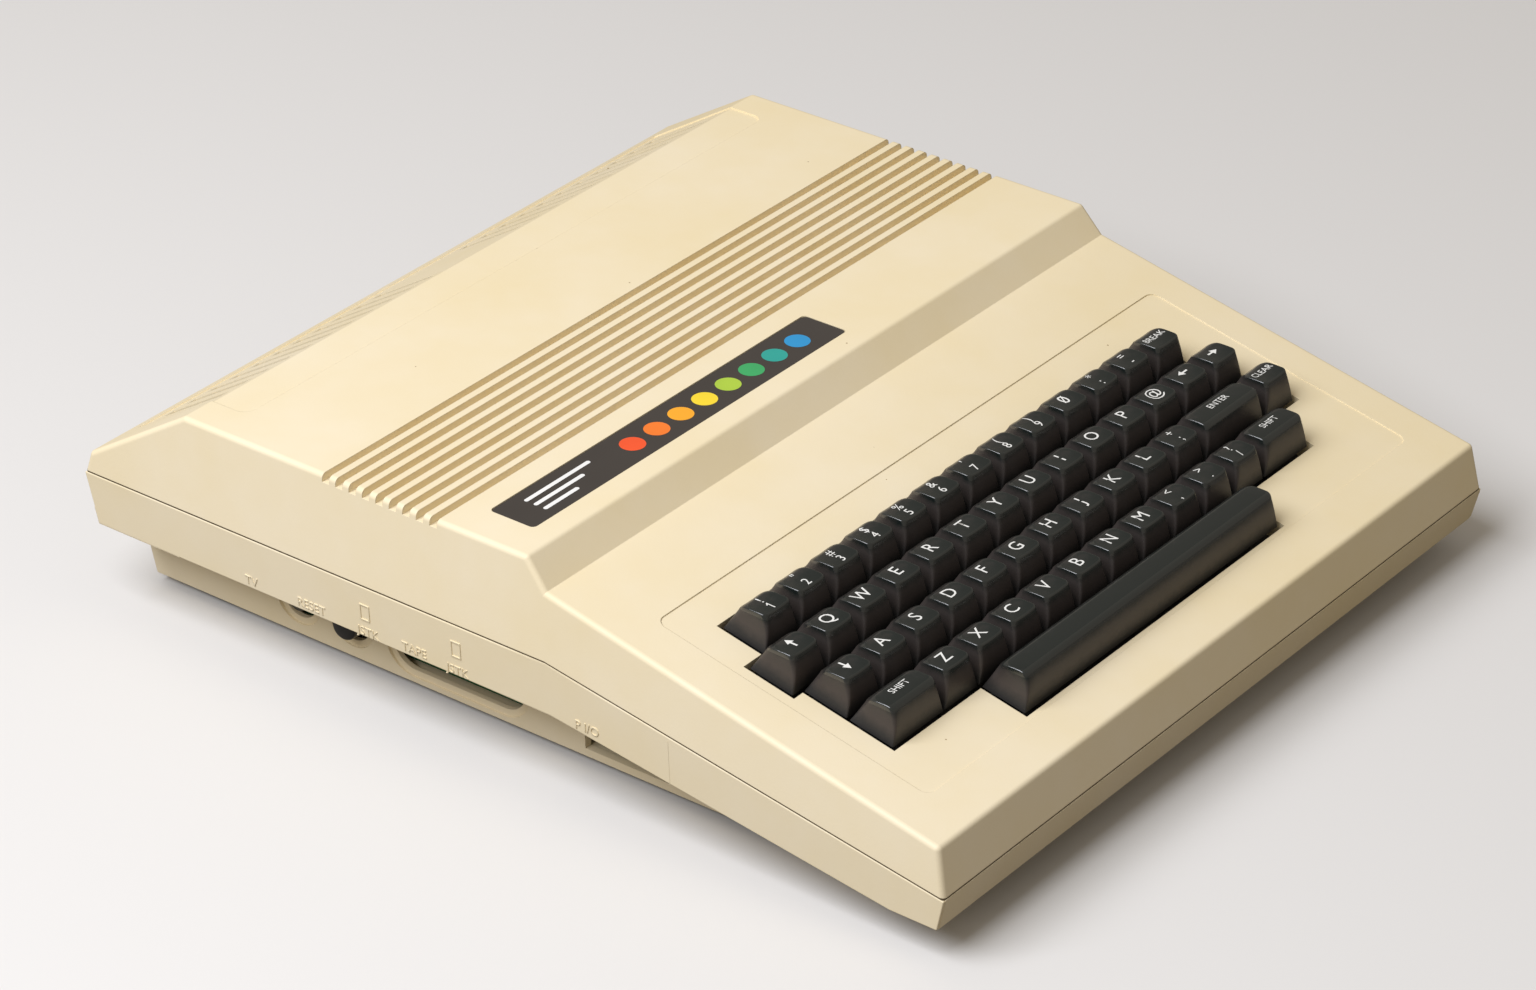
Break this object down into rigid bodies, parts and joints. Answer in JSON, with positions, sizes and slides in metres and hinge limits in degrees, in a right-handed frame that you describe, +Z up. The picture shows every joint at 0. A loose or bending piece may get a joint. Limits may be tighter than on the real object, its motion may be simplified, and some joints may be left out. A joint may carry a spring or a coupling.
{
  "type": "home computer",
  "caption": "Wedge-shaped home computer in two shells with a full keyboard, sockets in its left side, a cartridge flap, a vented rear slope, and a power switch.",
  "frame": {"origin": "on the table under the middle of the case, at the feet's lower faces", "axes": "+X to the typist's right, +Y to the rear of the case, +Z up"},
  "size_m": [0.328, 0.376, 0.0882],
  "materials": {
    "case_cream": "fine moulded texture, slightly yellowed",
    "badge_black": "glossy",
    "keycap_black": "satin",
    "button_black": "semi-gloss",
    "socket_black": "satin",
    "chip_black": "matt",
    "board_green": "solder-resist",
    "board_tan": "bare laminate",
    "frame_black": "matt paint",
    "heatsink_metal": "sheet",
    "shield_metal": "tinned",
    "screw_steel": "zinc plated",
    "foot_rubber": "matt"
  },
  "bodies": {
    "case": {"upper_case": "case_cream", "lower_case": "case_cream", "badge_plate": "badge_black", "case_screws": "screw_steel", "rubber_feet": "foot_rubber", "keyboard_frame": "frame_black", "keyboard_circuit_board": "board_green", "main_circuit_board": "board_green", "integrated_circuits": "chip_black", "power_board": "board_tan", "heatsink": "heatsink_metal", "din_sockets": "socket_black", "tv_modulator": "shield_metal", "board_connectors": "socket_black", "power_switch_body": "socket_black", "power_inlet": "socket_black"},
    "key_up": {"key_up": "keycap_black"},
    "key_q": {"key_q": "keycap_black"},
    "key_w": {"key_w": "keycap_black"},
    "key_e": {"key_e": "keycap_black"},
    "key_r": {"key_r": "keycap_black"},
    "key_t": {"key_t": "keycap_black"},
    "key_y": {"key_y": "keycap_black"},
    "key_u": {"key_u": "keycap_black"},
    "key_i": {"key_i": "keycap_black"},
    "key_o": {"key_o": "keycap_black"},
    "key_p": {"key_p": "keycap_black"},
    "key_at": {"key_at": "keycap_black"},
    "key_left": {"key_left": "keycap_black"},
    "key_right": {"key_right": "keycap_black"},
    "key_down": {"key_down": "keycap_black"},
    "key_a": {"key_a": "keycap_black"},
    "key_s": {"key_s": "keycap_black"},
    "key_d": {"key_d": "keycap_black"},
    "key_f": {"key_f": "keycap_black"},
    "key_g": {"key_g": "keycap_black"},
    "key_h": {"key_h": "keycap_black"},
    "key_j": {"key_j": "keycap_black"},
    "key_k": {"key_k": "keycap_black"},
    "key_l": {"key_l": "keycap_black"},
    "key_semicolon": {"key_semicolon": "keycap_black"},
    "key_enter": {"key_enter": "keycap_black"},
    "key_clear": {"key_clear": "keycap_black"},
    "key_shift_left": {"key_shift_left": "keycap_black"},
    "key_z": {"key_z": "keycap_black"},
    "key_x": {"key_x": "keycap_black"},
    "key_c": {"key_c": "keycap_black"},
    "key_v": {"key_v": "keycap_black"},
    "key_b": {"key_b": "keycap_black"},
    "key_n": {"key_n": "keycap_black"},
    "key_m": {"key_m": "keycap_black"},
    "key_comma": {"key_comma": "keycap_black"},
    "key_period": {"key_period": "keycap_black"},
    "key_slash": {"key_slash": "keycap_black"},
    "key_shift_right": {"key_shift_right": "keycap_black"},
    "key_space": {"key_space": "keycap_black"},
    "keys_top_row": {"keys_top_row": "keycap_black"},
    "reset_button": {"reset_button": "button_black"},
    "power_rocker": {"power_rocker": "button_black"},
    "cartridge_flap": {"cartridge_flap": "case_cream"}
  },
  "joints": [
    {"name": "key_up_press", "type": "slide", "parent": "case", "child": "key_up", "axis": [0, 0.2105, -0.9776], "range_m": [0, 0.004], "stiffness_N_per_m": 150, "springref_m": -0.002},
    {"name": "key_q_press", "type": "slide", "parent": "case", "child": "key_q", "axis": [0, 0.2105, -0.9776], "range_m": [0, 0.004], "stiffness_N_per_m": 150, "springref_m": -0.002},
    {"name": "key_w_press", "type": "slide", "parent": "case", "child": "key_w", "axis": [0, 0.2105, -0.9776], "range_m": [0, 0.004], "stiffness_N_per_m": 150, "springref_m": -0.002},
    {"name": "key_e_press", "type": "slide", "parent": "case", "child": "key_e", "axis": [0, 0.2105, -0.9776], "range_m": [0, 0.004], "stiffness_N_per_m": 150, "springref_m": -0.002},
    {"name": "key_r_press", "type": "slide", "parent": "case", "child": "key_r", "axis": [0, 0.2105, -0.9776], "range_m": [0, 0.004], "stiffness_N_per_m": 150, "springref_m": -0.002},
    {"name": "key_t_press", "type": "slide", "parent": "case", "child": "key_t", "axis": [0, 0.2105, -0.9776], "range_m": [0, 0.004], "stiffness_N_per_m": 150, "springref_m": -0.002},
    {"name": "key_y_press", "type": "slide", "parent": "case", "child": "key_y", "axis": [0, 0.2105, -0.9776], "range_m": [0, 0.004], "stiffness_N_per_m": 150, "springref_m": -0.002},
    {"name": "key_u_press", "type": "slide", "parent": "case", "child": "key_u", "axis": [0, 0.2105, -0.9776], "range_m": [0, 0.004], "stiffness_N_per_m": 150, "springref_m": -0.002},
    {"name": "key_i_press", "type": "slide", "parent": "case", "child": "key_i", "axis": [0, 0.2105, -0.9776], "range_m": [0, 0.004], "stiffness_N_per_m": 150, "springref_m": -0.002},
    {"name": "key_o_press", "type": "slide", "parent": "case", "child": "key_o", "axis": [0, 0.2105, -0.9776], "range_m": [0, 0.004], "stiffness_N_per_m": 150, "springref_m": -0.002},
    {"name": "key_p_press", "type": "slide", "parent": "case", "child": "key_p", "axis": [0, 0.2105, -0.9776], "range_m": [0, 0.004], "stiffness_N_per_m": 150, "springref_m": -0.002},
    {"name": "key_at_press", "type": "slide", "parent": "case", "child": "key_at", "axis": [0, 0.2105, -0.9776], "range_m": [0, 0.004], "stiffness_N_per_m": 150, "springref_m": -0.002},
    {"name": "key_left_press", "type": "slide", "parent": "case", "child": "key_left", "axis": [0, 0.2105, -0.9776], "range_m": [0, 0.004], "stiffness_N_per_m": 150, "springref_m": -0.002},
    {"name": "key_right_press", "type": "slide", "parent": "case", "child": "key_right", "axis": [0, 0.2105, -0.9776], "range_m": [0, 0.004], "stiffness_N_per_m": 150, "springref_m": -0.002},
    {"name": "key_down_press", "type": "slide", "parent": "case", "child": "key_down", "axis": [0, 0.2105, -0.9776], "range_m": [0, 0.004], "stiffness_N_per_m": 150, "springref_m": -0.002},
    {"name": "key_a_press", "type": "slide", "parent": "case", "child": "key_a", "axis": [0, 0.2105, -0.9776], "range_m": [0, 0.004], "stiffness_N_per_m": 150, "springref_m": -0.002},
    {"name": "key_s_press", "type": "slide", "parent": "case", "child": "key_s", "axis": [0, 0.2105, -0.9776], "range_m": [0, 0.004], "stiffness_N_per_m": 150, "springref_m": -0.002},
    {"name": "key_d_press", "type": "slide", "parent": "case", "child": "key_d", "axis": [0, 0.2105, -0.9776], "range_m": [0, 0.004], "stiffness_N_per_m": 150, "springref_m": -0.002},
    {"name": "key_f_press", "type": "slide", "parent": "case", "child": "key_f", "axis": [0, 0.2105, -0.9776], "range_m": [0, 0.004], "stiffness_N_per_m": 150, "springref_m": -0.002},
    {"name": "key_g_press", "type": "slide", "parent": "case", "child": "key_g", "axis": [0, 0.2105, -0.9776], "range_m": [0, 0.004], "stiffness_N_per_m": 150, "springref_m": -0.002},
    {"name": "key_h_press", "type": "slide", "parent": "case", "child": "key_h", "axis": [0, 0.2105, -0.9776], "range_m": [0, 0.004], "stiffness_N_per_m": 150, "springref_m": -0.002},
    {"name": "key_j_press", "type": "slide", "parent": "case", "child": "key_j", "axis": [0, 0.2105, -0.9776], "range_m": [0, 0.004], "stiffness_N_per_m": 150, "springref_m": -0.002},
    {"name": "key_k_press", "type": "slide", "parent": "case", "child": "key_k", "axis": [0, 0.2105, -0.9776], "range_m": [0, 0.004], "stiffness_N_per_m": 150, "springref_m": -0.002},
    {"name": "key_l_press", "type": "slide", "parent": "case", "child": "key_l", "axis": [0, 0.2105, -0.9776], "range_m": [0, 0.004], "stiffness_N_per_m": 150, "springref_m": -0.002},
    {"name": "key_semicolon_press", "type": "slide", "parent": "case", "child": "key_semicolon", "axis": [0, 0.2105, -0.9776], "range_m": [0, 0.004], "stiffness_N_per_m": 150, "springref_m": -0.002},
    {"name": "key_enter_press", "type": "slide", "parent": "case", "child": "key_enter", "axis": [0, 0.2105, -0.9776], "range_m": [0, 0.004], "stiffness_N_per_m": 150, "springref_m": -0.002},
    {"name": "key_clear_press", "type": "slide", "parent": "case", "child": "key_clear", "axis": [0, 0.2105, -0.9776], "range_m": [0, 0.004], "stiffness_N_per_m": 150, "springref_m": -0.002},
    {"name": "key_shift_left_press", "type": "slide", "parent": "case", "child": "key_shift_left", "axis": [0, 0.2105, -0.9776], "range_m": [0, 0.004], "stiffness_N_per_m": 150, "springref_m": -0.002},
    {"name": "key_z_press", "type": "slide", "parent": "case", "child": "key_z", "axis": [0, 0.2105, -0.9776], "range_m": [0, 0.004], "stiffness_N_per_m": 150, "springref_m": -0.002},
    {"name": "key_x_press", "type": "slide", "parent": "case", "child": "key_x", "axis": [0, 0.2105, -0.9776], "range_m": [0, 0.004], "stiffness_N_per_m": 150, "springref_m": -0.002},
    {"name": "key_c_press", "type": "slide", "parent": "case", "child": "key_c", "axis": [0, 0.2105, -0.9776], "range_m": [0, 0.004], "stiffness_N_per_m": 150, "springref_m": -0.002},
    {"name": "key_v_press", "type": "slide", "parent": "case", "child": "key_v", "axis": [0, 0.2105, -0.9776], "range_m": [0, 0.004], "stiffness_N_per_m": 150, "springref_m": -0.002},
    {"name": "key_b_press", "type": "slide", "parent": "case", "child": "key_b", "axis": [0, 0.2105, -0.9776], "range_m": [0, 0.004], "stiffness_N_per_m": 150, "springref_m": -0.002},
    {"name": "key_n_press", "type": "slide", "parent": "case", "child": "key_n", "axis": [0, 0.2105, -0.9776], "range_m": [0, 0.004], "stiffness_N_per_m": 150, "springref_m": -0.002},
    {"name": "key_m_press", "type": "slide", "parent": "case", "child": "key_m", "axis": [0, 0.2105, -0.9776], "range_m": [0, 0.004], "stiffness_N_per_m": 150, "springref_m": -0.002},
    {"name": "key_comma_press", "type": "slide", "parent": "case", "child": "key_comma", "axis": [0, 0.2105, -0.9776], "range_m": [0, 0.004], "stiffness_N_per_m": 150, "springref_m": -0.002},
    {"name": "key_period_press", "type": "slide", "parent": "case", "child": "key_period", "axis": [0, 0.2105, -0.9776], "range_m": [0, 0.004], "stiffness_N_per_m": 150, "springref_m": -0.002},
    {"name": "key_slash_press", "type": "slide", "parent": "case", "child": "key_slash", "axis": [0, 0.2105, -0.9776], "range_m": [0, 0.004], "stiffness_N_per_m": 150, "springref_m": -0.002},
    {"name": "key_shift_right_press", "type": "slide", "parent": "case", "child": "key_shift_right", "axis": [0, 0.2105, -0.9776], "range_m": [0, 0.004], "stiffness_N_per_m": 150, "springref_m": -0.002},
    {"name": "key_space_press", "type": "slide", "parent": "case", "child": "key_space", "axis": [0, 0.2105, -0.9776], "range_m": [0, 0.004], "stiffness_N_per_m": 300, "springref_m": -0.002},
    {"name": "keys_top_row_press", "type": "slide", "parent": "case", "child": "keys_top_row", "axis": [0, 0.2105, -0.9776], "range_m": [0, 0.004], "stiffness_N_per_m": 1950, "springref_m": -0.002},
    {"name": "reset_press", "type": "slide", "parent": "case", "child": "reset_button", "axis": [1, 0, 0], "range_m": [0, 0.003], "stiffness_N_per_m": 300, "springref_m": -0.001},
    {"name": "power_rock", "type": "hinge", "parent": "case", "child": "power_rocker", "pos_m": [0.092, 0.17881, 0.0195], "axis": [1, 0, 0], "range_deg": [-24, 0]},
    {"name": "flap_swing", "type": "hinge", "parent": "case", "child": "cartridge_flap", "pos_m": [0.1372, 0.017, 0.0262], "axis": [0, 1, 0], "range_deg": [0, 88], "stiffness_Nm_per_rad": 0.002, "springref_deg": -11.46}
  ]
}
